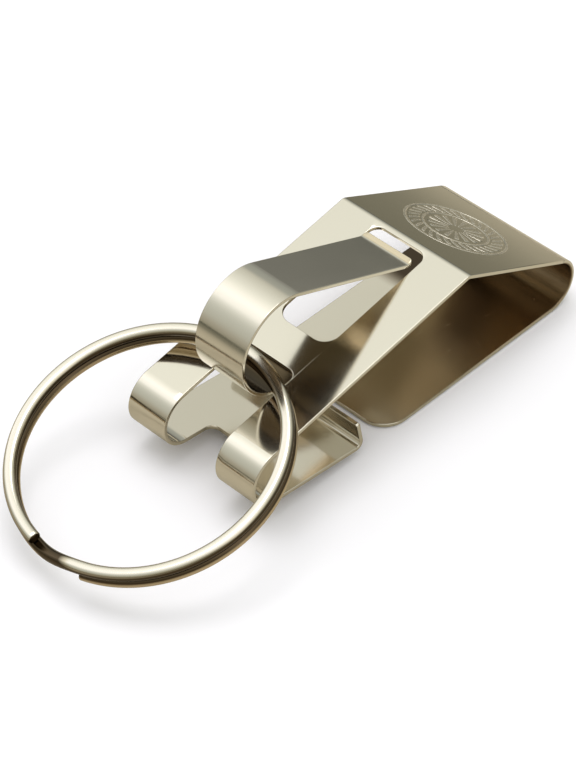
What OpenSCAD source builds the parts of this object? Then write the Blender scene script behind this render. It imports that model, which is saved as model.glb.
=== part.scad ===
// Belt key clip: a folded strip that slides over a belt, a key hook and a split ring.
// Millimetres, +Z up. The belt leaf lies flat with its outer face at zero height.
// The strip runs along X: the round bend that hugs the belt's edge is toward +X,
// the ears, the key hook and the ring are toward -X.

/* [Part to show] */
// Which sub-part to draw

/* [Strip] */
// Width of the clip across the strip
strip_w = 25.4; // [25:0.1:27]
// Thickness of the folded sheet
sheet_t = 0.65; // [0.55:0.01:0.7]

/* [Belt leaf] */
// Straight length of the leaf behind the belt
leaf_run = 37.4; // [36:0.1:38.5]
// Corner radius at the leaf's free end
leaf_corner_r = 4.2; // [2:0.1:6]
// Outer radius of the round bend
bow_r = 4.85; // [4.7:0.01:5]
// How far the round bend turns, in degrees
bow_angle = 153.4; // [153:0.1:154]

/* [Front of the clip] */
// Straight length of the sloping top plate
plate_run = 24.05; // [23.6:0.05:24.5]
// Outer radius of the bend between top plate and front panel
crease_r = 1.2; // [0.9:0.1:1.5]
// Straight length of the front panel with the ear arms
panel_run = 41.4; // [40.9:0.1:41.9]
// Outer radius of the ear curls
ear_r = 4.9; // [4.7:0.01:5.1]
// Straight length of the return plate below
return_run = 17; // [16:0.1:18]
// Outer radius at the foot of the end lip
lip_r = 1.3; // [1:0.1:1.6]
// Straight height of the end lip
lip_run = 3.7; // [3.2:0.1:4]
// Corner cut of the end lip
lip_clip = 0.5; // [0.3:0.1:1]

/* [Openings cut in the strip] */
// Width of the window in the front panel
window_w = 10.4; // [10.3:0.05:11]
// Window edge nearest the top plate, from the start of the panel
window_near = 0.5; // [0.2:0.1:0.8]
// Length of the window
window_run = 21.7; // [21.2:0.1:22.1]
// Corner radius at the window's far end
window_corner_r = 2.6; // [1:0.1:4]
// Corner radius at the window's near end
window_near_r = 1.7; // [1:0.1:2.5]
// Width of the bar left between the window and the notch
bar_run = 6.3; // [6:0.05:6.5]
// Width of the notch between the two ears
notch_w = 10.4; // [10.3:0.05:11]
// Where the notch ends in the return plate, from the ear curl
notch_return = 5.2; // [4:0.1:7]
// Corner radius at the notch's two ends
notch_corner_r = 1.5; // [0.5:0.1:2]

/* [Key hook] */
// Width of the key hook strip
hook_w = 9.4; // [9:0.05:9.7]
// Space between the hook's foot and the bar above it
foot_gap = 0.06; // [0.05:0.01:0.1]
// Length of the hook's foot, as far as its curl
foot_run = 6.6; // [6.2:0.1:7]
// How far the foot's end stands back from the window
foot_back = 0.5; // [0.2:0.1:0.8]
// Outer radius of the hook's curl
hook_r = 8.4; // [8.2:0.01:8.6]
// Straight length of the tongue
tongue_run = 24.2; // [23.8:0.1:24.5]
// Inner radius of the upward bend at the tongue's end
tip_r = 1; // [0.8:0.1:1.4]
// Straight length past that bend
tip_run = 0.8; // [0.6:0.1:1]
// Corner radius of the tongue's end
tip_corner_r = 0.6; // [0.3:0.1:0.6]

/* [Split ring] */
// Radius of the coils, to the middle of the wire
ring_r = 20.35; // [19.9:0.05:20.8]
// Width of the wire, from inside to outside of the ring
wire_w = 2; // [1.8:0.05:2.1]
// Height of the wire in one coil
wire_h = 1.5; // [1.3:0.05:1.5]
// Distance between the two coils, middle to middle
coil_pitch = 1.95; // [1.95:0.01:2.1]
// How far the coils hang behind the curl's middle
hang_back = 1.65; // [1.4:0.05:1.9]
// How far the coils hang below the curl's middle
hang_drop = 4.4; // [4.2:0.05:4.6]
// How far the ring sits to one side
hang_side = 1.5; // [1.2:0.1:1.7]
// Lean of the ring down from the hook, in degrees
ring_lean = 17.8; // [17:0.1:19]
// Tilt of the ring to one side, in degrees
ring_tilt = 1.2; // [0:0.1:1.5]
// Where the wire changes coil, in degrees short of the far point
step_angle = 3; // [0:1:10]

/* [Hidden] */
// gap left at the seam between the round bend and the top plate
seam_gap = 0.02;
// extra reach of cutting shapes past the faces they cut
cut_over = 1;
// fine steps for round shapes
fine = 96;
steel = [0.78, 0.76, 0.72];
bright = [0.84, 0.82, 0.77];
ring_tone = [0.70, 0.67, 0.60];
half_turn = 180;
quarter_turn = 90;
full_turn = 360;
half_share = 0.5;
quarter_share = 0.25;

// The bends' turns are set by a cosine with few decimals whose sine has few too,
// so that each bend meets the next straight run exactly.
crease_share = 0.8;
ear_share = -0.96;
lip_share = -0.28;
curl_share = -0.8432;
tip_share = 0.8;
crease_turn = acos(crease_share);
ear_turn = acos(ear_share);
lip_turn = acos(lip_share);
hook_turn = full_turn - acos(curl_share);
tip_turn = acos(tip_share);

// headings of the straight runs, measured from +X toward +Z
plate_way = bow_angle;
panel_way = plate_way + crease_turn;
return_way = panel_way + ear_turn;
lip_way = return_way + lip_turn;

// point on a circle of radius r at angle a
function spot(r, a) = [r * cos(a), r * sin(a)];
// end of a straight run of length l on heading h
function ahead(p, l, h) = p + spot(l, h);
// centre of a bend of radius r that starts at p on heading h
function middle(p, r, h) = p + spot(r, h + quarter_turn);
// end of that bend after a turn of a to the left
function round_end(p, r, h, a) = middle(p, r, h) + spot(r, h + a - quarter_turn);

// corners of the folded strip's path along its outer face
leaf_from = [-leaf_run * half_share, 0];
bow_from = ahead(leaf_from, leaf_run, 0);
bow_to = round_end(bow_from, bow_r, 0, bow_angle);
plate_from = ahead(bow_to, seam_gap, plate_way);
crease_from = ahead(plate_from, plate_run, plate_way);
crease_to = round_end(crease_from, crease_r, plate_way, crease_turn);
ear_from = ahead(crease_to, panel_run, panel_way);
ear_to = round_end(ear_from, ear_r, panel_way, ear_turn);
lip_from = ahead(ear_to, return_run, return_way);
lip_to = round_end(lip_from, lip_r, return_way, lip_turn);

// distances along the front panel
window_far = window_near + window_run;
notch_near = window_far + bar_run;

// the hook's path, seen from the other side so that it turns left as well
foot_depth = sheet_t + foot_gap + sheet_t;
foot_spot = ahead(crease_to, window_far + foot_back, panel_way);
foot_low = ahead(foot_spot, foot_depth, panel_way + quarter_turn);
foot_from = [-foot_low[0], foot_low[1]];
foot_way = half_turn - panel_way;
curl_from = ahead(foot_from, foot_run, foot_way);
curl_mid = middle(curl_from, hook_r, foot_way);
curl_to = round_end(curl_from, hook_r, foot_way, hook_turn);
tongue_way = foot_way + hook_turn;
bend_from = ahead(curl_to, tongue_run, tongue_way);
tip_way = tongue_way - tip_turn;
bend_mid = ahead(bend_from, tip_r, tongue_way - quarter_turn);
bend_to = ahead(bend_mid, tip_r, tip_way + quarter_turn);

// the ring's hanging point inside the hook's curl
hang = [-curl_mid[0] - hang_back, hang_side, curl_mid[1] - hang_drop];
rings_per_loop = 24;
// steps that the wire takes to change from one coil to the other
change_steps = 2;
ring_steps = rings_per_loop + rings_per_loop - change_steps;
step_deg = full_turn / rings_per_loop;
// the wire starts one step past the place where it changes coil
wire_start = step_deg - step_angle;

// The folded strips are drawn by walking along their outer face. Each step draws
// a piece of sheet on the left of the way, then goes on from its far end.
module run(l) {
    square([l, sheet_t]);
    translate([l, 0])
    children();
}

module turn(r, a) {
    translate([0, r]) {
        sector(r, a);
        rotate(a)
        translate([0, -r])
        children();
    }
}

// the same with a bend to the right, whose radius is that of its inner side
module turn_back(r, a) {
    translate([0, -r]) {
        mirror([0, 1])
        sector(r + sheet_t, a);
        rotate(-a)
        translate([0, r])
        children();
    }
}

// the bent piece of sheet, about its centre, from straight below round by a
module sector(r, a) {
    intersection() {
        difference() {
            circle(r = r, $fn = fine);
            circle(r = r - sheet_t, $fn = fine);
        }
        if (a > half_turn) {
            union() {
                half(r + r, 0);
                rotate(a)
                half(r + r, 1);
            }
        } else {
            intersection() {
                half(r + r, 0);
                rotate(a)
                half(r + r, 1);
            }
        }
    }
}

// a large half on one side of the upright line through the centre
module half(reach, flip) {
    translate([-reach * flip, -reach])
    square([reach, reach + reach]);
}

// stands a side profile up and gives it a width across the strip
module across(w) {
    translate([0, w * half_share, 0])
    rotate([quarter_turn, 0, 0])
    linear_extrude(w)
    children();
}

// places things on a run of the path: local X along it, Y across the strip,
// Z from its outer face into the sheet
module lay_on(p, h) {
    translate([p[0], 0, p[1]])
    rotate([0, -h, 0])
    children();
}

// the same, for cutting tools that start a little outside the sheet
module cut_on(p, h) {
    lay_on(p, h)
    translate([0, 0, -cut_over])
    children();
}

// strip outline of length l and width w whose far corners have radius r
module tab(l, w, r) {
    translate([0, -w * half_share])
    square([l - r, w]);
    translate([0, r - w * half_share])
    square([l, w - r - r]);
    for (side = [-1, 1]) {
        translate([l - r, side * (w * half_share - r)])
        circle(r = r, $fn = fine);
    }
}

module belt_leaf_side() {
    translate(leaf_from)
    run(leaf_run)
    turn(bow_r, bow_angle);
}

// tool that rounds the two corners at the end of a run of width w on heading h
module end_rounder(p, h, r, w) {
    deep = sheet_t + cut_over + cut_over;
    block = r + cut_over;
    row = w * half_share - r;
    cut_on(p, h)
    for (side = [-1, 1]) {
        linear_extrude(deep)
        difference() {
            translate([-r, side * (row + block * half_share) - block * half_share])
            square([block, block]);
            translate([-r, side * row])
            circle(r = r, $fn = fine);
        }
    }
}

// tool that clips the two corners at the end of a run of width w on heading h
module end_clipper(p, h, c, w) {
    deep = sheet_t + cut_over + cut_over;
    far = w * half_share;
    cut_on(p, h)
    for (side = [-1, 1]) {
        linear_extrude(deep)
        polygon([
            [-c - cut_over, side * (far + cut_over)],
            [cut_over, side * (far + cut_over)],
            [cut_over, side * (far - c - cut_over)]
        ]);
    }
}

module belt_leaf() {
    color(steel)
    difference() {
        across(strip_w)
        belt_leaf_side();
        end_rounder(leaf_from, half_turn, leaf_corner_r, strip_w);
    }
}

module front_frame_side() {
    translate(plate_from)
    rotate(plate_way)
    run(plate_run)
    turn(crease_r, crease_turn)
    run(panel_run)
    turn(ear_r, ear_turn)
    run(return_run)
    turn(lip_r, lip_turn)
    run(lip_run);
}

module window_tool() {
    cut_on(crease_to, panel_way)
    linear_extrude(sheet_t + cut_over + cut_over)
    translate([window_near, 0]) {
        translate([window_near_r, 0])
        tab(window_run - window_near_r, window_w, window_corner_r);
        translate([window_run - window_corner_r, 0])
        rotate(half_turn)
        tab(window_run - window_corner_r, window_w, window_near_r);
    }
}

// The notch is cut from both sides of the ear curl in one frame, the panel's.
module notch_tool() {
    tall = ear_r + cut_over;
    upper = panel_run - notch_near + tall;
    lower = notch_return + tall;
    lay_on(crease_to, panel_way) {
        translate([notch_near + upper, 0, -cut_over])
        linear_extrude(tall)
        rotate(half_turn)
        tab(upper, notch_w, notch_corner_r);
        translate([panel_run, 0, ear_r])
        rotate([0, -ear_turn, 0])
        translate([-tall, 0, -tall])
        linear_extrude(tall)
        tab(lower, notch_w, notch_corner_r);
    }
}

module front_frame() {
    color(bright)
    difference() {
        across(strip_w)
        front_frame_side();
        window_tool();
        notch_tool();
        end_clipper(ahead(lip_to, lip_run, lip_way), lip_way, lip_clip, strip_w);
    }
}

module key_hook_side() {
    translate(foot_from)
    rotate(foot_way)
    run(foot_run)
    turn(hook_r, hook_turn)
    run(tongue_run)
    turn_back(tip_r, tip_turn)
    run(tip_run);
}

module key_hook() {
    color(bright)
    mirror([1, 0, 0])
    difference() {
        across(hook_w)
        key_hook_side();
        end_rounder(ahead(bend_to, tip_run, tip_way), tip_way, tip_corner_r, hook_w);
    }
}

// the wire's six-sided outline: across the ring, and along its axis
wire_outline = [
    [wire_w * half_share, 0],
    [wire_w * quarter_share, wire_h * half_share],
    [-wire_w * quarter_share, wire_h * half_share],
    [-wire_w * half_share, 0],
    [-wire_w * quarter_share, -wire_h * half_share],
    [wire_w * quarter_share, -wire_h * half_share]
];
sides = len(wire_outline);

// height of the wire's middle after i steps
first_coil_steps = rings_per_loop - change_steps;
function wire_level(i) =
    i <= first_coil_steps ? half_share : (i < rings_per_loop ? 0 : -half_share);
// point k of the wire's outline after i steps
function wire_point(i, k) = let (
    a = wire_start + i * step_deg,
    r = ring_r + wire_outline[k][0]
) [-ring_r - r * cos(a), r * sin(a), wire_level(i) * coil_pitch + wire_outline[k][1]];

wire_points = [for (i = [0 : ring_steps]) for (k = [0 : sides - 1]) wire_point(i, k)];
wire_skin = [
    for (i = [0 : ring_steps - 1])
    for (k = [0 : sides - 1])
    [i * sides + k, i * sides + (k + 1) % sides, (i + 1) * sides + (k + 1) % sides, (i + 1) * sides + k]
];
wire_caps = [
    [for (k = [0 : sides - 1]) sides - 1 - k],
    [for (k = [0 : sides - 1]) ring_steps * sides + k]
];

module split_ring() {
    color(ring_tone)
    translate(hang)
    rotate([-ring_tilt, -ring_lean, 0])
    polyhedron(points = wire_points, faces = concat(wire_skin, wire_caps));
}

// least distance between the two coils, over all pairs of points a loop apart
coil_gaps = [
    for (i = [0 : ring_steps - first_coil_steps])
    for (j = [i + first_coil_steps : min(ring_steps, i + rings_per_loop + change_steps)])
    for (k = [0 : sides - 1])
    for (m = [0 : sides - 1])
    norm(wire_points[i * sides + k] - wire_points[j * sides + m])
];
echo(ring_self_gap = min(coil_gaps));
echo(seam = bow_to, crease = crease_to, ear = ear_to, lip = lip_to);
echo(ear_middle = middle(ear_from, ear_r, panel_way));
echo(notch_edge = ahead(crease_to, notch_near, panel_way));
echo(window_end = ahead(crease_to, window_far, panel_way));
echo(curl_middle = [-curl_mid[0], curl_mid[1]], hang = hang, tip = [-bend_to[0], bend_to[1]]);

belt_leaf();
front_frame();
key_hook();
split_ring();
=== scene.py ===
"""Belt key clip: its looks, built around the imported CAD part."""

import math

import bmesh
import bpy
from mathutils import Matrix, Vector


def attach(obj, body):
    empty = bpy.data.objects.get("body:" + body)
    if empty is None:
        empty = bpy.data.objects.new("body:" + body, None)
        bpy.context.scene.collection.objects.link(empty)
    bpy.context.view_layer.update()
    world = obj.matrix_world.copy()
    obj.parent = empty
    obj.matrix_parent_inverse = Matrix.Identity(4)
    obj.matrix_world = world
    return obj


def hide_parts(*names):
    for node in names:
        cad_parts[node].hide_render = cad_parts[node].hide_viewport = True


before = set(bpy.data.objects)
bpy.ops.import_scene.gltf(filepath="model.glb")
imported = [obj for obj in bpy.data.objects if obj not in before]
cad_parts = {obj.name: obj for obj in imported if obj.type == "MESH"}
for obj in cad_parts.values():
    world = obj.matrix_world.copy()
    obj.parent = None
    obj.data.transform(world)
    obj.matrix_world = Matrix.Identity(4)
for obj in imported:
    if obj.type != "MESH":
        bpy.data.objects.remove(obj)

bl_info = {
    "name": "Belt Key Clip",
    "version": (1, 0, 0),
    "blender": (4, 5, 0),
    "location": "View3D > Sidebar > Belt Clip",
    "description": "Builds the folded strip, the key hook, the split ring and a studio stage",
    "category": "Object",
}

MM = 0.001
HALF = 0.5
QUARTER_TURN = math.pi * HALF
FULL_TURN = 2 * math.pi
LEFT = 1
RIGHT = -1
WHITE = (1.0, 1.0, 1.0, 1.0)


# settings

def length_prop(name, description, default):
    """A length in metres, given here in millimetres."""
    return bpy.props.FloatProperty(
        name=name, description=description, default=default * MM,
        min=0.0, unit="LENGTH", subtype="DISTANCE", precision=5)


def angle_prop(name, description, default):
    """An angle, given here in degrees."""
    return bpy.props.FloatProperty(
        name=name, description=description, default=math.radians(default),
        unit="ROTATION", subtype="ANGLE")


def colour_prop(name, description, default):
    """A colour as red, green and blue shares."""
    return bpy.props.FloatVectorProperty(
        name=name, description=description, default=default,
        size=3, min=0.0, max=1.0, subtype="COLOR")


class StripSettings(bpy.types.PropertyGroup):
    """Sizes of the folded strip and of the key hook, as in the CAD part.

    The edge radius is the scene's own, and the lip's corners, clipped in the CAD, are round."""
    width: length_prop("Strip width", "Width of the clip", 25.4)
    sheet: length_prop("Sheet", "Thickness of the sheet", 0.65)
    edge: length_prop("Edge radius", "Rounding of the sheet's cut edges", 0.11)
    leaf_run: length_prop("Leaf", "Straight length of the belt leaf", 37.4)
    leaf_corner: length_prop("Leaf corners", "Corner radius of the leaf", 4.2)
    bow_r: length_prop("Bow radius", "Outer radius of the round bend", 4.85)
    bow_turn: angle_prop("Bow turn", "Turn of the round bend", 153.4)
    seam: length_prop("Seam", "Gap between the bow and the top plate", 0.02)
    plate_run: length_prop("Top plate", "Straight length of the top plate", 24.05)
    crease_r: length_prop("Crease radius", "Bend between plate and panel", 1.2)
    panel_run: length_prop("Front panel", "Straight length of the panel", 41.4)
    ear_r: length_prop("Ear radius", "Outer radius of the ear curls", 4.9)
    return_run: length_prop("Return plate", "Straight length below", 17.0)
    lip_r: length_prop("Lip radius", "Outer radius at the lip's foot", 1.3)
    lip_run: length_prop("Lip", "Straight height of the lip", 3.7)
    lip_corner: length_prop("Lip corners", "Corner radius of the lip", 0.5)
    window_w: length_prop("Window width", "Width of the window", 10.4)
    window_near: length_prop("Window start", "Window's near edge", 0.5)
    window_run: length_prop("Window length", "Length of the window", 21.7)
    window_corner: length_prop("Window corners", "Corner radius", 2.6)
    window_near_r: length_prop("Window near corners", "Corner radius", 1.7)
    bar_run: length_prop("Bar", "Bar between window and notch", 6.3)
    notch_w: length_prop("Notch width", "Width between the ears", 10.4)
    notch_return: length_prop("Notch end", "Notch in the return plate", 5.2)
    notch_corner: length_prop("Notch corners", "Corner radius", 1.5)
    hook_w: length_prop("Hook width", "Width of the key hook", 9.4)
    foot_gap: length_prop("Foot gap", "Space between foot and bar", 0.06)
    foot_run: length_prop("Foot", "Length of the hook's foot", 6.6)
    foot_back: length_prop("Foot set-back", "From the window's edge", 0.5)
    hook_r: length_prop("Curl radius", "Outer radius of the curl", 8.4)
    tongue_run: length_prop("Tongue", "Straight length of the tongue", 24.2)
    tip_r: length_prop("Tip radius", "Inner radius of the upward bend", 1.0)
    tip_run: length_prop("Tip", "Straight length past that bend", 0.8)
    tip_corner: length_prop("Tip corners", "Corner radius of the tip", 0.6)


class RingSettings(bpy.types.PropertyGroup):
    """Sizes of the split ring. Its wire is thicker than the CAD part's, its coils closer."""
    radius: length_prop("Coil radius", "To the middle of the wire", 20.35)
    wire_w: length_prop("Wire width", "From inside to outside", 2.0)
    wire_h: length_prop("Wire height", "Height of one coil", 1.66)
    pitch: length_prop("Coil pitch", "Middle to middle of the coils", 1.76)
    wire_round: length_prop("Wire rounding", "Radius of its edges", 0.8)
    wire_end: length_prop("End rounding", "Radius of the wire's cut ends", 0.15)
    hang_back: length_prop("Hang back", "From the curl's middle", 1.65)
    hang_drop: length_prop("Hang drop", "Below the curl's middle", 4.4)
    hang_side: length_prop("Hang side", "Sideways", 1.5)
    lean: angle_prop("Lean", "Lean of the ring", 17.8)
    tilt: angle_prop("Tilt", "Tilt of the ring to one side", 1.2)
    step_at: angle_prop("Step", "Where the wire changes coil", -3.0)
    step_half: angle_prop("Half step", "Half the angle of that change", 12.3)


class FinishSettings(bpy.types.PropertyGroup):
    """Colours of the plating on each piece and of the floor."""
    leaf: colour_prop("Belt leaf", "Plating of the belt leaf", (0.74, 0.70, 0.62))
    front: colour_prop("Front frame", "Plating of the front frame", (0.75, 0.71, 0.63))
    hook: colour_prop("Key hook", "Plating of the key hook", (0.75, 0.71, 0.63))
    ring: colour_prop("Split ring", "Plating of the split ring", (0.72, 0.68, 0.60))
    floor: colour_prop("Floor", "Floor under the clip", (0.94, 0.93, 0.995))


# the bends' turns, as in the CAD part
CREASE_TURN = math.acos(0.8)
EAR_TURN = math.acos(-0.96)
LIP_TURN = math.acos(-0.28)
HOOK_TURN = FULL_TURN - math.acos(-0.8432)
TIP_TURN = math.acos(0.8)

# how finely bends, corners and the coils are divided
BEND_STEP = math.radians(3.0)
COIL_STEP = math.radians(2.0)
FEWEST_STEPS = 6
CORNER_STEPS = 10
WIRE_CORNER_STEPS = 6
EDGE_STEPS = 2
# distance of the close points at both ends of a straight run
LEAD = 0.04 * MM
# edges that turn by more than this are the wire's cut ends
SHARP_EDGE = math.radians(50.0)


# paths

def ahead(p, length, way):
    """The end of a straight run of this length on heading way."""
    return (p[0] + length * math.cos(way), p[1] + length * math.sin(way))


class Walk:
    """A path in the clip's side view."""

    def __init__(self, start, way):
        self.points = [start]
        self.way = way
        self.length = 0.0
        self.cuts = []
        self.marks = {}

    def step(self, p):
        """Goes straight to a point and cuts the sheet there."""
        self.length += math.dist(self.points[-1], p)
        self.points.append(p)
        self.cuts.append(self.length)

    def run(self, length):
        """A straight run. Close points at both ends keep its tangent true."""
        start = self.points[-1]
        for part in (LEAD, length - LEAD, length):
            self.step(ahead(start, part, self.way))
        return self

    def turn(self, radius, angle, side=LEFT):
        """A bend to one side, whose radius is that of the face the path follows."""
        count = max(FEWEST_STEPS, math.ceil(angle / BEND_STEP))
        centre = ahead(self.points[-1], radius, self.way + side * QUARTER_TURN)
        first = self.way - side * QUARTER_TURN
        for i in range(1, count + 1):
            self.step(ahead(centre, radius, first + side * angle * i / count))
        self.way += side * angle
        return self

    def mark(self, name):
        """Remembers how far along the path this place is, and where."""
        self.marks[name] = (self.length, self.points[-1], self.way)
        return self


def leaf_walk(s):
    """Belt leaf and round bend."""
    walk = Walk((-s.leaf_run * HALF, 0.0), 0.0)
    walk.run(s.leaf_run).turn(s.bow_r, s.bow_turn).mark("seam")
    return walk


def front_walk(s):
    """Top plate, panel, ears, return plate and lip."""
    _, seam, way = leaf_walk(s).marks["seam"]
    walk = Walk(ahead(seam, s.seam, way), way)
    walk.run(s.plate_run).turn(s.crease_r, CREASE_TURN).mark("panel")
    walk.run(s.panel_run).turn(s.ear_r, EAR_TURN).mark("return")
    walk.run(s.return_run).turn(s.lip_r, LIP_TURN).run(s.lip_run).mark("end")
    return walk


def hook_walk(s):
    """The key hook's foot, curl, tongue and tip, mirrored so its curl turns left."""
    _, panel, way = front_walk(s).marks["panel"]
    foot = ahead(panel, s.window_near + s.window_run + s.foot_back, way)
    foot = ahead(foot, 2 * s.sheet + s.foot_gap, way + QUARTER_TURN)
    walk = Walk((-foot[0], foot[1]), math.pi - way)
    walk.run(s.foot_run).mark("curl").turn(s.hook_r, HOOK_TURN)
    walk.run(s.tongue_run).turn(s.tip_r, TIP_TURN, RIGHT).run(s.tip_run)
    return walk


def in_scene(name, data):
    """A new object in the scene. Its data takes its name."""
    data.name = name
    obj = bpy.data.objects.new(name, data)
    bpy.context.scene.collection.objects.link(obj)
    return obj


def add_line(curve, points, closed):
    """Adds a poly line to a curve."""
    line = curve.splines.new("POLY")
    line.points.add(len(points) - 1)
    for point, p in zip(line.points, points):
        point.co = (*p, 1.0)
    line.use_cyclic_u = closed


def line_object(name, points, closed=False):
    """A poly line through these points, as an object."""
    curve = bpy.data.curves.new(name, "CURVE")
    curve.dimensions = "3D"
    add_line(curve, points, closed)
    return in_scene(name, curve)


# blanks

# blanks are cut in millimetres, and points closer than this are one
SAME_POINT = 1e-5


def rounded(corners, steps=CORNER_STEPS):
    """A closed outline from (x, y, radius) corners."""
    points = []
    count = len(corners)
    for i, (x, y, r) in enumerate(corners):
        here = Vector((x, y))
        if r <= 0:
            points.append(here)
            continue
        before = (Vector(corners[i - 1][:2]) - here).normalized()
        after = (Vector(corners[(i + 1) % count][:2]) - here).normalized()
        middle = here + (before + after) * r
        a = here + before * r - middle
        b = here + after * r - middle
        for k in range(steps + 1):
            t = k / steps * QUARTER_TURN
            points.append(middle + a * math.cos(t) + b * math.sin(t))
    return points


def box_outline(x0, x1, width, r0, r1):
    """A rectangle along X with radius r0 at its start and r1 at its end."""
    h = width * HALF
    return rounded([(x0, -h, r0), (x1, -h, r1), (x1, h, r1), (x0, h, r0)])


def blank_mesh(name, loops, s, cuts):
    """A flat piece of sheet with rounded cut edges, cut across at each bend step."""
    curve = bpy.data.curves.new(name, "CURVE")
    curve.dimensions = "2D"
    curve.fill_mode = "BOTH"
    curve.bevel_resolution = EDGE_STEPS
    curve.extrude = s.sheet * HALF - s.edge
    curve.bevel_depth = s.edge
    curve.offset = -s.edge
    # set in metres and then scaled: the curve rounds its offset, and the blank keeps that
    curve.extrude /= MM
    curve.bevel_depth /= MM
    curve.offset /= MM
    for loop in loops:
        add_line(curve, [(x / MM, y / MM, 0.0) for x, y in loop], True)
    mesh = plain_mesh(in_scene(name, curve))
    bpy.data.curves.remove(curve)
    shape = bmesh.new()
    shape.from_mesh(mesh)
    bmesh.ops.remove_doubles(shape, verts=shape.verts, dist=SAME_POINT)
    for cut in cuts:
        bmesh.ops.bisect_plane(
            shape, geom=shape.verts[:] + shape.edges[:] + shape.faces[:],
            dist=SAME_POINT, plane_co=(cut / MM, 0, 0), plane_no=(1, 0, 0))
    bmesh.ops.recalc_face_normals(shape, faces=shape.faces)
    bmesh.ops.translate(shape, vec=(0, 0, s.sheet * HALF / MM), verts=shape.verts)
    bmesh.ops.scale(shape, vec=(MM, MM, MM), verts=shape.verts)
    shape.to_mesh(mesh)
    shape.free()
    return mesh


def front_loops(s, walk):
    """Outline of the front frame's blank, with its window and its notch."""
    end = walk.marks["end"][0]
    panel = walk.marks["panel"][0]
    back = walk.marks["return"][0]
    outer = box_outline(0.0, end, s.width, 0.0, s.lip_corner)
    near = panel + s.window_near
    far = near + s.window_run
    window = box_outline(near, far, s.window_w, s.window_near_r, s.window_corner)
    notch = box_outline(far + s.bar_run, back + s.notch_return, s.notch_w,
                        s.notch_corner, s.notch_corner)
    return [outer, window, notch]


# node trees

def new_tree(name, kind, inputs, outputs):
    """A node group with sockets of these labels and types."""
    tree = bpy.data.node_groups.new(name, kind)
    for way, sockets in (("INPUT", inputs), ("OUTPUT", outputs)):
        for label, socket in sockets.items():
            tree.interface.new_socket(
                name=label, in_out=way, socket_type="NodeSocket" + socket)
    return tree


def add(tree, kind, inputs=None, **values):
    """A node with its properties set and its inputs linked or given plain values."""
    node = tree.nodes.new(kind)
    for key, value in values.items():
        setattr(node, key, value)
    for key, value in (inputs or {}).items():
        if isinstance(value, bpy.types.NodeSocket):
            tree.links.new(value, node.inputs[key])
        else:
            node.inputs[key].default_value = value
    return node


def maths(tree, operation, *values):
    """The result of a Math node."""
    node = add(tree, "ShaderNodeMath", dict(enumerate(values)), operation=operation)
    return node.outputs["Value"]


def vector_maths(tree, operation, *values):
    """The result of a Vector Math node, a plain value or a vector."""
    node = add(tree, "ShaderNodeVectorMath", dict(enumerate(values)), operation=operation)
    return node.outputs["Value" if operation in ("DOT_PRODUCT", "LENGTH") else "Vector"]


def split(tree, vector):
    """The X, Y and Z of a vector."""
    return add(tree, "ShaderNodeSeparateXYZ", {0: vector}).outputs


def held_range(tree, value, low, high, start=0.0, end=1.0, interpolation="LINEAR"):
    """value mapped from low and high to start and end, and held beyond them."""
    node = add(tree, "ShaderNodeMapRange",
               dict(enumerate((value, low, high, start, end))), interpolation_type=interpolation)
    return node.outputs["Result"]


def set_input(modifier, label, value):
    """Sets a modifier's named input by its socket identifier."""
    for item in modifier.node_group.interface.items_tree:
        if item.item_type == "SOCKET" and item.in_out == "INPUT" and item.name == label:
            modifier[item.identifier] = value
            return
    raise KeyError(label)


def finish_tree(tree, source, geometry):
    """Ends a tree in Realize Instances and Set Material."""
    real = add(tree, "GeometryNodeRealizeInstances", {"Geometry": geometry})
    paint = add(tree, "GeometryNodeSetMaterial", {
        "Geometry": real.outputs["Geometry"], "Material": source.outputs["Material"]})
    add(tree, "NodeGroupOutput", {"Geometry": paint.outputs["Geometry"]})


def strip_tree():
    """Bends a flat blank along a path."""
    tree = new_tree(
        "Bend Strip", "GeometryNodeTree",
        {"Geometry": "Geometry", "Path": "Object", "Side": "Float", "Material": "Material"},
        {"Geometry": "Geometry"})
    tree.is_modifier = True
    source = add(tree, "NodeGroupInput")
    side = source.outputs["Side"]
    path = add(tree, "GeometryNodeObjectInfo", {"Object": source.outputs["Path"]},
               transform_space="ORIGINAL")
    place = add(tree, "GeometryNodeInputPosition")
    flat = split(tree, place.outputs["Position"])
    sample = add(tree, "GeometryNodeSampleCurve", {
        "Curves": path.outputs["Geometry"], "Length": flat["X"]}, mode="LENGTH")
    tangent = split(tree, sample.outputs["Tangent"])
    normal = add(tree, "ShaderNodeCombineXYZ", {
        "X": maths(tree, "MULTIPLY", tangent["Z"], -1.0), "Z": tangent["X"]})
    lift = add(tree, "ShaderNodeVectorMath", {
        "Vector": normal.outputs["Vector"],
        "Scale": maths(tree, "MULTIPLY", flat["Z"], side)}, operation="SCALE")
    aside = add(tree, "ShaderNodeCombineXYZ", {
        "Y": maths(tree, "MULTIPLY", flat["Y"], side)})
    bent = vector_maths(tree, "ADD", sample.outputs["Position"], lift.outputs["Vector"])
    bent = vector_maths(tree, "ADD", bent, aside.outputs["Vector"])
    move = add(tree, "GeometryNodeSetPosition", {
        "Geometry": source.outputs["Geometry"], "Position": bent})
    finish_tree(tree, source, move.outputs["Geometry"])
    return tree


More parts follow.
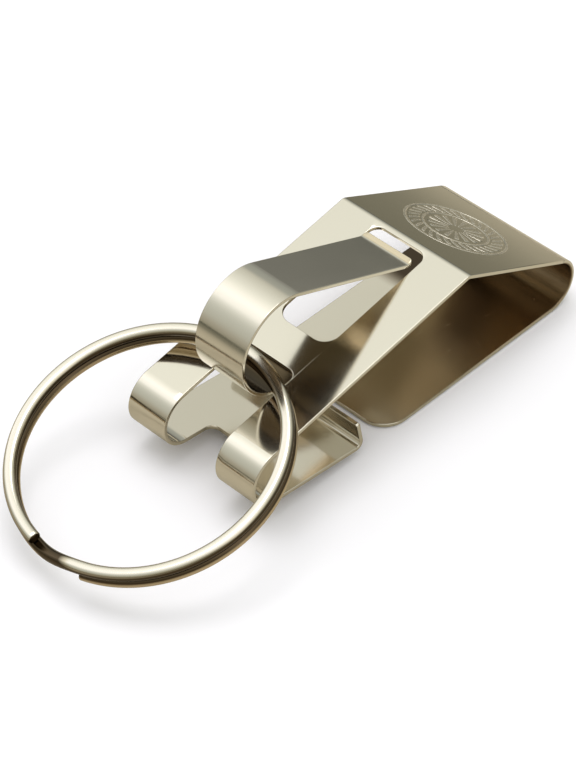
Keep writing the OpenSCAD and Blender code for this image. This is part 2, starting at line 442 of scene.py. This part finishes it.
def coil_tree():
    """Sweeps the wire's outline along the coil's path."""
    tree = new_tree(
        "Wind Wire", "GeometryNodeTree",
        {"Geometry": "Geometry", "Outline": "Object", "Material": "Material"},
        {"Geometry": "Geometry"})
    tree.is_modifier = True
    source = add(tree, "NodeGroupInput")
    outline = add(tree, "GeometryNodeObjectInfo", {"Object": source.outputs["Outline"]},
                  transform_space="ORIGINAL")
    upright = add(tree, "GeometryNodeSetCurveNormal", {
        "Curve": source.outputs["Geometry"]}, mode="Z_UP")
    sweep = add(tree, "GeometryNodeCurveToMesh", {
        "Curve": upright.outputs["Curve"],
        "Profile Curve": outline.outputs["Geometry"],
        "Fill Caps": True})
    finish_tree(tree, source, sweep.outputs["Mesh"])
    return tree


# finished meshes

def plain_mesh(obj):
    """The mesh of an object with its modifiers applied. The object is removed."""
    graph = bpy.context.evaluated_depsgraph_get()
    mesh = bpy.data.meshes.new_from_object(obj.evaluated_get(graph))
    bpy.data.objects.remove(obj)
    return mesh


def by_nodes(obj, tree, inputs):
    """The plain mesh that a node tree makes of an object."""
    modifier = obj.modifiers.new(tree.name, "NODES")
    modifier.node_group = tree
    for label, value in inputs.items():
        set_input(modifier, label, value)
    return plain_mesh(obj)


def even_normals(obj, name):
    """Smooth shading whose normals follow the large faces."""
    for polygon in obj.data.polygons:
        polygon.use_smooth = True
    obj.modifiers.new("Weigh", "WEIGHTED_NORMAL")
    return in_scene(name, plain_mesh(obj))


def fold(name, mesh, walk, side, material):
    """Bends a blank along its walk. To the right, the walk is seen mirrored."""
    path = line_object(name + "_path", [(side * x, 0.0, z) for x, z in walk.points])
    bent = by_nodes(in_scene(name + "_flat", mesh), strip_tree(), {
        "Path": path, "Side": float(side), "Material": material})
    bpy.data.objects.remove(path)
    return even_normals(in_scene(name + "_bent", bent), name)


def hand_over(obj, node):
    """Hangs a finished piece on its part's body and hides that CAD part."""
    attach(obj, node)
    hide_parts(node)


# plating

# rolling lines, scratches, the patches that have them, and smears
LINE_SCALE = 900.0
LINE_DETAIL = 3.0
LINE_DEPTH = 0.02 * MM
SCRATCH_SCALE = 170.0
SCRATCH_WIDTH = 0.012
SCRATCH_ROUGHNESS = 0.07
PATCH_SCALE = 260.0
PATCH_RANGE = (0.56, 0.66)
SMEAR_SCALE = 70.0
SMEAR_DETAIL = 4.0
SMEAR_RANGE = (0.3, 0.7)
SMEAR_TINT = (0.97, 0.96, 0.94)

# stretch of the lines on sheet and wire, and how strongly they show
SHEET_GRAIN = (0.05, 1.0, 0.05)
WIRE_GRAIN = (1.0, 1.0, 0.2)
BRUSHED = 0.05
POLISHED = 0.012

# least roughness of each piece, and how much its smears add
LEAF_SHEEN = (0.15, 0.08)
FRONT_SHEEN = (0.07, 0.06)
HOOK_SHEEN = (0.11, 0.07)
RING_SHEEN = (0.11, 0.10)

# how far a face looks into the hollow before its painted shade begins, and is in full
INSIDE_RANGE = (0.4 * MM, 1.6 * MM)
# where the hollow's far side begins and is full, in Y, and where it begins to lie
# open and lies open in full, in X
FAR_SIDE = (0.0, 7.0 * MM)
OPEN_STRETCH = (9.0 * MM, 5.0 * MM)
# painted shade near black deep in the hollow's far side, and how strongly the leaf's far side
# takes it, with painted light where that side lies open
DEEP_PAINTED_SHADE = (0.06, 0.045, 0.035, 1.0)
LEAF_SIDES = 0.95

# middles of the hollows in the side view, and where their painted shade starts and ends
CLIP_MIDDLE = (0.0, 0.0, 8.0 * MM)
CURL_MIDDLE = (-29.0 * MM, 0.0, 20.0 * MM)
LEAF_REACH = (-19.0 * MM, 22.0 * MM)
FRONT_REACH = (-25.0 * MM, -15.0 * MM)
CURL_REACH = (-38.0 * MM, -14.0 * MM)

# painted shade on the faces inside the clip, along their reach toward +X
LEAF_PAINTED_SHADE = ((0.0, (0.34, 0.28, 0.20)), (0.12, (0.48, 0.43, 0.35)),
              (0.30, (0.42, 0.37, 0.29)), (0.42, (0.44, 0.39, 0.31)),
              (0.55, (0.70, 0.62, 0.52)), (0.82, (0.72, 0.60, 0.47)),
              (1.0, (0.32, 0.25, 0.18)))
FRONT_PAINTED_SHADE = ((0.0, (1.0, 1.0, 1.0)), (0.06, (0.70, 0.61, 0.47)),
               (0.30, (0.70, 0.61, 0.47)), (0.40, (0.82, 0.78, 0.72)),
               (1.0, (0.80, 0.76, 0.70)))
CURL_PAINTED_SHADE = ((0.0, (0.15, 0.115, 0.08)), (0.78, (0.15, 0.125, 0.085)),
              (0.85, (0.80, 0.72, 0.58)), (1.0, (0.86, 0.79, 0.67)))
# painted shade on the ring's wire, from below the lower coil to the top of the upper one
RING_PAINTED_SHADE = ((0.0, (0.50, 0.42, 0.32)), (0.10, (0.84, 0.72, 0.56)),
              (0.30, (0.88, 0.76, 0.60)), (0.38, (0.12, 0.09, 0.06)),
              (0.84, (0.11, 0.085, 0.06)), (0.93, (0.74, 0.70, 0.62)),
              (0.97, (1.0, 1.0, 1.0)))


def opaque(colour):
    """A colour with its fourth part."""
    return (*colour, 1.0)


def ramp(tree, value, stops, interpolation="EASE"):
    """A colour ramp from (position, grey or colour) stops."""
    node = add(tree, "ShaderNodeValToRGB", {"Fac": value})
    node.color_ramp.interpolation = interpolation
    elements = node.color_ramp.elements
    while len(elements) < len(stops):
        elements.new(HALF)
    for element, (position, colour) in zip(elements, stops):
        if isinstance(colour, float):
            colour = (colour,) * 3
        element.position = position
        element.color = opaque(colour)
    return node.outputs["Color"]


def mixed(tree, factor, a, b, blend="MIX"):
    """Two colours mixed."""
    node = add(tree, "ShaderNodeMix", {"Factor": factor, "A": a, "B": b},
               data_type="RGBA", blend_type=blend)
    return node.outputs["Result"]


def noise(tree, vector, scale, detail=2.0):
    """Soft noise from nought to one."""
    node = add(tree, "ShaderNodeTexNoise", {
        "Vector": vector, "Scale": scale, "Detail": detail})
    return node.outputs["Fac"]


def wear_group():
    """Fine rolling lines, faint scratches and handling smears in a plated sheet."""
    name = "Plate Wear"
    if name in bpy.data.node_groups:
        return bpy.data.node_groups[name]
    tree = new_tree(name, "ShaderNodeTree", {"Grain": "Vector"},
                    {"Lines": "Float", "Scratches": "Float", "Smears": "Float"})
    source = add(tree, "NodeGroupInput")
    here = add(tree, "ShaderNodeTexCoord").outputs["Object"]
    cracks = add(tree, "ShaderNodeTexVoronoi", {
        "Vector": here, "Scale": SCRATCH_SCALE}, feature="DISTANCE_TO_EDGE")
    thin = held_range(tree, cracks.outputs["Distance"], 0.0, SCRATCH_WIDTH, 1.0, 0.0)
    patches = held_range(tree, noise(tree, here, PATCH_SCALE), *PATCH_RANGE)
    add(tree, "NodeGroupOutput", {
        "Lines": noise(tree, source.outputs["Grain"], LINE_SCALE, LINE_DETAIL),
        "Scratches": maths(tree, "MULTIPLY", thin, patches),
        "Smears": noise(tree, here, SMEAR_SCALE, SMEAR_DETAIL)})
    return tree


def plated(name, colour, grain, sheen, brush):
    """Bright nickel plate with its wear. Gives the material and its shader."""
    material = bpy.data.materials.new(name)
    material.use_nodes = True
    tree = material.node_tree
    tree.nodes.clear()
    here = add(tree, "ShaderNodeTexCoord").outputs["Object"]
    stretch = add(tree, "ShaderNodeMapping", {"Vector": here, "Scale": grain})
    wear = add(tree, "ShaderNodeGroup", {"Grain": stretch.outputs["Vector"]},
               node_tree=wear_group())
    least, more = sheen
    rough = held_range(tree, wear.outputs["Smears"], *SMEAR_RANGE, least, least + more)
    rough = maths(tree, "MULTIPLY_ADD", wear.outputs["Scratches"], SCRATCH_ROUGHNESS, rough)
    dull = [c * d for c, d in zip(colour, SMEAR_TINT)]
    lines = add(tree, "ShaderNodeBump", {
        "Height": wear.outputs["Lines"], "Strength": brush, "Distance": LINE_DEPTH})
    metal = add(tree, "ShaderNodeBsdfPrincipled", {
        "Metallic": 1.0,
        "Base Color": mixed(tree, wear.outputs["Smears"], opaque(colour), opaque(dull)),
        "Roughness": rough,
        "Normal": lines.outputs["Normal"]})
    add(tree, "ShaderNodeOutputMaterial", {"Surface": metal.outputs["BSDF"]})
    return material, metal


def source_of(metal, label):
    """What feeds this input of the shader."""
    return metal.inputs[label].links[0].from_socket


def tint_plate(tree, metal, factor, tone):
    """Multiplies the plate's colour by a tone, as far as factor says."""
    tinted = mixed(tree, factor, source_of(metal, "Base Color"), tone, "MULTIPLY")
    tree.links.new(tinted, metal.inputs["Base Color"])


def painted_shade_group():
    """How far a face looks into the hollow round a middle, and the painted shade there.

    Light that enters the clip leaves it browner after many turns between the sheets; this is
    painted into the colour, with painted light where the far side lies open and painted shade
    deep in."""
    name = "Hollow Shade"
    if name in bpy.data.node_groups:
        return bpy.data.node_groups[name]
    tree = new_tree(
        name, "ShaderNodeTree",
        {"Middle": "Vector", "From": "Float", "To": "Float"},
        {"Inside": "Float", "Depth": "Float", "Painted light side": "Float", "Painted deep shade": "Float"})
    source = add(tree, "NodeGroupInput")
    place = add(tree, "ShaderNodeTexCoord")
    here = place.outputs["Object"]
    inward = vector_maths(tree, "SUBTRACT", source.outputs["Middle"], here)
    flat = vector_maths(tree, "MULTIPLY", inward, (1.0, 0.0, 1.0))
    facing = vector_maths(tree, "DOT_PRODUCT", place.outputs["Normal"], flat)
    parts = split(tree, here)
    aside = held_range(tree, parts["Y"], *FAR_SIDE, interpolation="SMOOTHSTEP")
    along = held_range(tree, parts["X"], *OPEN_STRETCH, interpolation="SMOOTHSTEP")
    opened = maths(tree, "MULTIPLY", aside, along)
    add(tree, "NodeGroupOutput", {
        "Inside": held_range(tree, facing, *INSIDE_RANGE),
        "Depth": held_range(tree, parts["X"], source.outputs["From"], source.outputs["To"]),
        "Painted light side": opened,
        "Painted deep shade": maths(tree, "SUBTRACT", aside, opened)})
    return tree


def paint_hollow_shade(material, metal, middle, reach, tones, sides=0.0):
    """Paints shade on the faces that look toward middle, with shade tones that run along reach.

    sides says how much the far side differs: painted light where it lies open, painted shade
    deep in."""
    tree = material.node_tree
    shade = add(tree, "ShaderNodeGroup", {
        "Middle": middle, "From": reach[0], "To": reach[1]}, node_tree=painted_shade_group())
    tone = ramp(tree, shade.outputs["Depth"], tones, "LINEAR")
    opened = maths(tree, "MULTIPLY", shade.outputs["Painted light side"], sides)
    tone = mixed(tree, opened, tone, WHITE)
    closed = maths(tree, "MULTIPLY", shade.outputs["Painted deep shade"], sides)
    tone = mixed(tree, closed, tone, DEEP_PAINTED_SHADE)
    # the painted shade, multiplied into the plate's colour
    tint_plate(tree, metal, shade.outputs["Inside"], tone)


def paint_coil_shade(material, metal, place, height):
    """Paints shade on the sides of the upper coil and in the groove between the coils."""
    tree = material.node_tree
    axis = place.to_3x3() @ Vector((0.0, 0.0, 1.0))
    here = add(tree, "ShaderNodeTexCoord").outputs["Object"]
    shift = vector_maths(tree, "SUBTRACT", here, place.translation)
    level = vector_maths(tree, "DOT_PRODUCT", shift, axis)
    share = held_range(tree, level, -height * HALF, height * HALF)
    # painted shade, set by height along the ring's axis
    tint_plate(tree, metal, 1.0, ramp(tree, share, RING_PAINTED_SHADE, "LINEAR"))


# stamp

# half sizes of the stamp and its place from the top plate's start
STAMP_WIDE = 8.5 * MM
STAMP_TALL = 8.1 * MM
STAMP_AT = 11.9 * MM
STAMP_DEPTH = 0.12 * MM
STAMP_STRENGTH = 0.9
STAMP_ROUGHNESS = 0.22
# how near the plate's outer face the stamp shows
STAMP_SKIN = 0.2 * MM

# heights from the stamp's middle to its rim: two rims, a rope border and a sun
RIMS = ((0.0, 0.0), (0.60, 0.0), (0.615, 1.0), (0.64, 1.0), (0.655, 0.0),
        (0.94, 0.0), (0.96, 1.0), (0.99, 1.0), (1.0, 0.0))
ROPE_BAND = ((0.0, 0.0), (0.68, 0.0), (0.71, 1.0), (0.88, 1.0), (0.91, 0.0))
SUN_BAND = ((0.0, 0.0), (0.14, 0.0), (0.18, 1.0), (0.50, 1.0), (0.54, 0.0))
ROPE_STRANDS = 30.0
ROPE_SLANT = 26.0
SUN_RAYS = 16.0


def waves(tree, angle, reach, count, slant):
    """Raised strokes round a middle: count of them, slanted with the distance."""
    around = maths(tree, "MULTIPLY_ADD", angle, count,
                   maths(tree, "MULTIPLY", reach, slant))
    return held_range(tree, maths(tree, "SINE", around), 0.0, HALF, interpolation="SMOOTHSTEP")


def stamp_group():
    """Height of the plain stamp on the top plate: rims, a rope and a sun."""
    tree = new_tree("Plain Stamp", "ShaderNodeTree",
                    {"Across": "Float", "Along": "Float"}, {"Height": "Float"})
    source = add(tree, "NodeGroupInput")
    wide = maths(tree, "DIVIDE", source.outputs["Across"], STAMP_WIDE)
    tall = maths(tree, "DIVIDE", source.outputs["Along"], STAMP_TALL)
    flat = add(tree, "ShaderNodeCombineXYZ", {"X": wide, "Y": tall})
    reach = vector_maths(tree, "LENGTH", flat.outputs["Vector"])
    angle = maths(tree, "ARCTAN2", wide, tall)
    height = ramp(tree, reach, RIMS)
    for band, count, slant in ((ROPE_BAND, ROPE_STRANDS, ROPE_SLANT),
                               (SUN_BAND, SUN_RAYS, 0.0)):
        height = maths(tree, "MULTIPLY_ADD", waves(tree, angle, reach, count, slant),
                       ramp(tree, reach, band), height)
    add(tree, "NodeGroupOutput", {"Height": height})
    return tree


def stamp_on(material, metal, middle, way):
    """Adds the stamp's relief on the outer face of a plate that runs on heading way."""
    tree = material.node_tree
    here = add(tree, "ShaderNodeTexCoord").outputs["Object"]
    shift = vector_maths(tree, "SUBTRACT", here, (middle[0], 0.0, middle[1]))
    along = vector_maths(tree, "DOT_PRODUCT", shift, (math.cos(way), 0.0, math.sin(way)))
    depth = vector_maths(tree, "DOT_PRODUCT", shift, (math.sin(way), 0.0, -math.cos(way)))
    skin = maths(tree, "LESS_THAN", maths(tree, "ABSOLUTE", depth), STAMP_SKIN)
    stamp = add(tree, "ShaderNodeGroup", {
        "Across": split(tree, shift)["Y"], "Along": along}, node_tree=stamp_group())
    raised = maths(tree, "MULTIPLY", stamp.outputs["Height"], skin)
    rough = maths(tree, "MULTIPLY_ADD", raised, STAMP_ROUGHNESS,
                  source_of(metal, "Roughness"))
    tree.links.new(rough, metal.inputs["Roughness"])
    relief = add(tree, "ShaderNodeBump", {
        "Height": raised, "Normal": source_of(metal, "Normal"),
        "Strength": STAMP_STRENGTH, "Distance": STAMP_DEPTH})
    tree.links.new(relief.outputs["Normal"], metal.inputs["Normal"])


# pieces

def build_leaf(s, finish):
    """The belt leaf with the round bend."""
    walk = leaf_walk(s)
    outline = box_outline(0.0, walk.length, s.width, s.leaf_corner, 0.0)
    mesh = blank_mesh("leaf_blank", [outline], s, walk.cuts)
    material, metal = plated("leaf_plate", finish.leaf, SHEET_GRAIN, LEAF_SHEEN, BRUSHED)
    # painted shade on the leaf's faces inside the clip
    paint_hollow_shade(material, metal, CLIP_MIDDLE, LEAF_REACH, LEAF_PAINTED_SHADE, LEAF_SIDES)
    obj = fold("leaf_strip", mesh, walk, LEFT, material)
    hand_over(obj, "belt_leaf")


def build_front(s, finish):
    """The top plate, the panel with its window, the ears and the return plate."""
    walk = front_walk(s)
    mesh = blank_mesh("front_blank", front_loops(s, walk), s, walk.cuts)
    material, metal = plated(
        "front_plate", finish.front, SHEET_GRAIN, FRONT_SHEEN, POLISHED)
    # painted shade on the front frame's faces inside the clip
    paint_hollow_shade(material, metal, CLIP_MIDDLE, FRONT_REACH, FRONT_PAINTED_SHADE)
    stamp_on(material, metal, ahead(walk.points[0], STAMP_AT, s.bow_turn), s.bow_turn)
    obj = fold("front_strip", mesh, walk, LEFT, material)
    hand_over(obj, "front_frame")


def build_hook(s, finish):
    """The key hook's foot, curl and tongue."""
    walk = hook_walk(s)
    outline = box_outline(0.0, walk.length, s.hook_w, 0.0, s.tip_corner)
    mesh = blank_mesh("hook_blank", [outline], s, walk.cuts)
    material, metal = plated("hook_plate", finish.hook, SHEET_GRAIN, HOOK_SHEEN, BRUSHED)
    # painted shade inside the hook's curl
    paint_hollow_shade(material, metal, CURL_MIDDLE, CURL_REACH, CURL_PAINTED_SHADE)
    obj = fold("hook_strip", mesh, walk, RIGHT, material)
    hand_over(obj, "key_hook")


def smooth_step(t):
    """An even rise from nought to one, held beyond them."""
    t = min(1.0, max(0.0, t))
    return t * t * (3 - 2 * t)


def coil_points(r):
    """The wire's middle line: upper coil, a smooth step, lower coil."""
    first = r.step_half
    last = 2 * FULL_TURN - r.step_half
    count = round((last - first) / COIL_STEP)
    points = []
    for i in range(count + 1):
        a = first + (last - first) * i / count
        t = (a - (FULL_TURN - r.step_half)) / (2 * r.step_half)
        level = (HALF - smooth_step(t)) * r.pitch
        a += r.step_at
        points.append((-r.radius - r.radius * math.cos(a), r.radius * math.sin(a), level))
    return points


def ring_place(s, r):
    """Where the coils hang in the hook's curl, as a matrix."""
    _, foot, way = hook_walk(s).marks["curl"]
    curl = ahead(foot, s.hook_r, way + QUARTER_TURN)
    hang = Vector((-curl[0] - r.hang_back, r.hang_side, curl[1] - r.hang_drop))
    turn = Matrix.Rotation(-r.lean, 4, "Y") @ Matrix.Rotation(-r.tilt, 4, "X")
    return Matrix.Translation(hang) @ turn


def build_ring(s, r, finish):
    """The split ring's two coils of wire."""
    place = ring_place(s, r)
    path = line_object("coil_path", coil_points(r))
    w = r.wire_w * HALF
    h = r.wire_h * HALF
    corners = rounded([(x, y, r.wire_round) for x, y in ((-w, -h), (w, -h), (w, h), (-w, h))],
                      WIRE_CORNER_STEPS)
    profile = line_object("wire_outline", [(x, y, 0.0) for x, y in corners], True)
    material, metal = plated("ring_plate", finish.ring, WIRE_GRAIN, RING_SHEEN, BRUSHED)
    # painted shade on the coil sides and in the groove between the coils
    paint_coil_shade(material, metal, place, r.pitch + r.wire_h)
    mesh = by_nodes(path, coil_tree(), {"Outline": profile, "Material": material})
    bpy.data.objects.remove(profile)
    mesh.transform(place)
    coils = in_scene("coil_bare", mesh)
    soft = coils.modifiers.new("Soften ends", "BEVEL")
    soft.width = r.wire_end
    soft.segments = EDGE_STEPS
    soft.limit_method = "ANGLE"
    soft.angle_limit = SHARP_EDGE
    obj = even_normals(coils, "ring_coils")
    hand_over(obj, "split_ring")


# stage

CAMERA_AT = (-0.260244, -0.231793, 0.322257)
CAMERA_RIGHT = (0.69814, -0.71592, -0.00772)
CAMERA_UP = (0.49868, 0.47850, 0.72274)
CAMERA_WIDE = math.radians(10.5528)
CAMERA_RANGE = (0.01, 50.0)

FLOOR_SIZE = 6.0
FLOOR_DROP = 0.2 * MM
# the floor as the metal mirrors it, by distance in metres
FLOOR_TONES = ((0.0, (0.56, 0.52, 0.42)), (0.06, (0.52, 0.47, 0.38)),
               (0.25, (0.20, 0.19, 0.15)), (1.0, (0.07, 0.07, 0.055)))

LIGHT_AT = (0.0, 0.12, 0.8)
LIGHT_SIZE = (0.5, 0.4)
LIGHT_POWER = 1.6
LIGHT_COLOUR = (1.0, 0.985, 0.96)

# the room's light: share of the half turn from +X over the top to -X, and colour
ROOM = (
    (0.00, (0.10, 0.11, 0.09)), (0.022, (0.12, 0.125, 0.105)),
    (0.05, (0.28, 0.28, 0.26)),
    (0.10, (0.40, 0.42, 0.38)), (0.18, (0.45, 0.47, 0.43)),
    (0.22, (0.70, 0.70, 0.62)), (0.30, (0.85, 0.86, 0.78)),
    (0.40, (1.05, 1.07, 0.99)), (0.45, (1.20, 1.22, 1.14)),
    (0.50, (1.35, 1.36, 1.30)), (0.56, (1.48, 1.48, 1.46)),
    (0.65, (1.30, 1.31, 1.27)), (0.70, (0.95, 0.97, 0.91)),
    (0.75, (0.75, 0.77, 0.71)), (0.80, (0.66, 0.68, 0.62)),
    (0.88, (0.58, 0.59, 0.52)), (0.94, (0.48, 0.46, 0.38)),
    (1.00, (0.36, 0.34, 0.26)),
)


def build_floor(finish):
    """A plain pale floor. Mirrored in the metal it is warm and darkens with distance."""
    bpy.ops.mesh.primitive_plane_add(size=FLOOR_SIZE, location=(0.0, 0.0, -FLOOR_DROP))
    floor = bpy.context.object
    floor.name = "floor"
    material = bpy.data.materials.new("pale_floor")
    material.use_nodes = True
    tree = material.node_tree
    tree.nodes.clear()
    here = add(tree, "ShaderNodeTexCoord").outputs["Object"]
    shade = ramp(tree, vector_maths(tree, "LENGTH", here), FLOOR_TONES)
    mirrored = add(tree, "ShaderNodeBsdfDiffuse", {"Color": shade})
    seen = add(tree, "ShaderNodeBsdfDiffuse", {"Color": opaque(finish.floor)})
    path = add(tree, "ShaderNodeLightPath")
    mix = add(tree, "ShaderNodeMixShader", {
        0: path.outputs["Is Camera Ray"],
        1: mirrored.outputs["BSDF"],
        2: seen.outputs["BSDF"]})
    add(tree, "ShaderNodeOutputMaterial", {"Surface": mix.outputs["Shader"]})
    floor.data.materials.append(material)


def build_world():
    """A soft room, set by the angle round the clip's cross axis.

    Every sheet face turns about that axis, so this angle alone says what it mirrors."""
    world = bpy.data.worlds.new("studio")
    bpy.context.scene.world = world
    world.use_nodes = True
    tree = world.node_tree
    tree.nodes.clear()
    parts = split(tree, add(tree, "ShaderNodeTexCoord").outputs["Generated"])
    angle = maths(tree, "ARCTAN2", parts["Z"], parts["X"])
    room = ramp(tree, maths(tree, "DIVIDE", angle, math.pi), ROOM, "LINEAR")
    light = add(tree, "ShaderNodeBackground", {"Color": room, "Strength": 1.0})
    add(tree, "ShaderNodeOutputWorld", {"Surface": light.outputs["Background"]})


def build_light():
    """One soft light over the clip, off the directions that the sheets mirror."""
    data = bpy.data.lights.new("overhead", "AREA")
    data.shape = "RECTANGLE"
    data.size, data.size_y = LIGHT_SIZE
    data.energy = LIGHT_POWER
    data.color = LIGHT_COLOUR
    light = in_scene("overhead", data)
    light.location = LIGHT_AT
    aim = Vector() - Vector(LIGHT_AT)
    light.rotation_euler = aim.to_track_quat("-Z", "Y").to_euler()


def build_camera():
    """The camera at the photograph's place and angle."""
    right = Vector(CAMERA_RIGHT).normalized()
    back = right.cross(Vector(CAMERA_UP)).normalized()
    up = back.cross(right)
    data = bpy.data.cameras.new("photo_camera")
    data.sensor_fit = "HORIZONTAL"
    data.angle = CAMERA_WIDE
    data.clip_start, data.clip_end = CAMERA_RANGE
    data.dof.use_dof = False
    camera = in_scene("photo_camera", data)
    turn = Matrix((right, up, back)).transposed().to_4x4()
    camera.matrix_world = Matrix.Translation(CAMERA_AT) @ turn
    bpy.context.scene.camera = camera


# operators

class CLIP_OT_leaf(bpy.types.Operator):
    """Builds the belt leaf with the round bend"""
    bl_idname = "belt_clip.leaf"
    bl_label = "Build Belt Leaf"

    def execute(self, context):
        build_leaf(context.scene.clip_strip, context.scene.clip_finish)
        return {"FINISHED"}


class CLIP_OT_front(bpy.types.Operator):
    """Builds the front frame"""
    bl_idname = "belt_clip.front"
    bl_label = "Build Front Frame"

    def execute(self, context):
        build_front(context.scene.clip_strip, context.scene.clip_finish)
        return {"FINISHED"}


class CLIP_OT_hook(bpy.types.Operator):
    """Builds the key hook"""
    bl_idname = "belt_clip.hook"
    bl_label = "Build Key Hook"

    def execute(self, context):
        build_hook(context.scene.clip_strip, context.scene.clip_finish)
        return {"FINISHED"}


class CLIP_OT_ring(bpy.types.Operator):
    """Builds the split ring"""
    bl_idname = "belt_clip.ring"
    bl_label = "Build Split Ring"

    def execute(self, context):
        scene = context.scene
        build_ring(scene.clip_strip, scene.clip_ring, scene.clip_finish)
        return {"FINISHED"}


class CLIP_OT_stage(bpy.types.Operator):
    """Sets up the floor, the room, the light and the camera"""
    bl_idname = "belt_clip.stage"
    bl_label = "Build Stage"

    def execute(self, context):
        build_floor(context.scene.clip_finish)
        build_world()
        build_light()
        build_camera()
        context.scene.view_settings.view_transform = "Standard"
        return {"FINISHED"}


class CLIP_PT_panel(bpy.types.Panel):
    """Buttons, sizes and colours of the belt key clip"""
    bl_idname = "CLIP_PT_panel"
    bl_label = "Belt Key Clip"
    bl_space_type = "VIEW_3D"
    bl_region_type = "UI"
    bl_category = "Belt Clip"

    def draw(self, context):
        for operator in OPERATORS:
            self.layout.operator(operator.bl_idname)
        for place in SETTINGS:
            settings = getattr(context.scene, place)
            for name in type(settings).__annotations__:
                self.layout.prop(settings, name)


OPERATORS = (CLIP_OT_leaf, CLIP_OT_front, CLIP_OT_hook, CLIP_OT_ring, CLIP_OT_stage)
SETTINGS = {
    "clip_strip": StripSettings,
    "clip_ring": RingSettings,
    "clip_finish": FinishSettings,
}
CLASSES = (*SETTINGS.values(), *OPERATORS, CLIP_PT_panel)


def register():
    """Adds the settings, the operators and the panel."""
    for cls in CLASSES:
        bpy.utils.register_class(cls)
    for place, settings in SETTINGS.items():
        setattr(bpy.types.Scene, place, bpy.props.PointerProperty(type=settings))


def unregister():
    """Takes them away again."""
    for place in SETTINGS:
        delattr(bpy.types.Scene, place)
    for cls in reversed(CLASSES):
        bpy.utils.unregister_class(cls)


def main():
    """Builds all pieces and the stage."""
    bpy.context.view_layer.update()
    register()
    bpy.ops.belt_clip.leaf()
    bpy.ops.belt_clip.front()
    bpy.ops.belt_clip.hook()
    bpy.ops.belt_clip.ring()
    bpy.ops.belt_clip.stage()


if __name__ == "__main__":
    main()
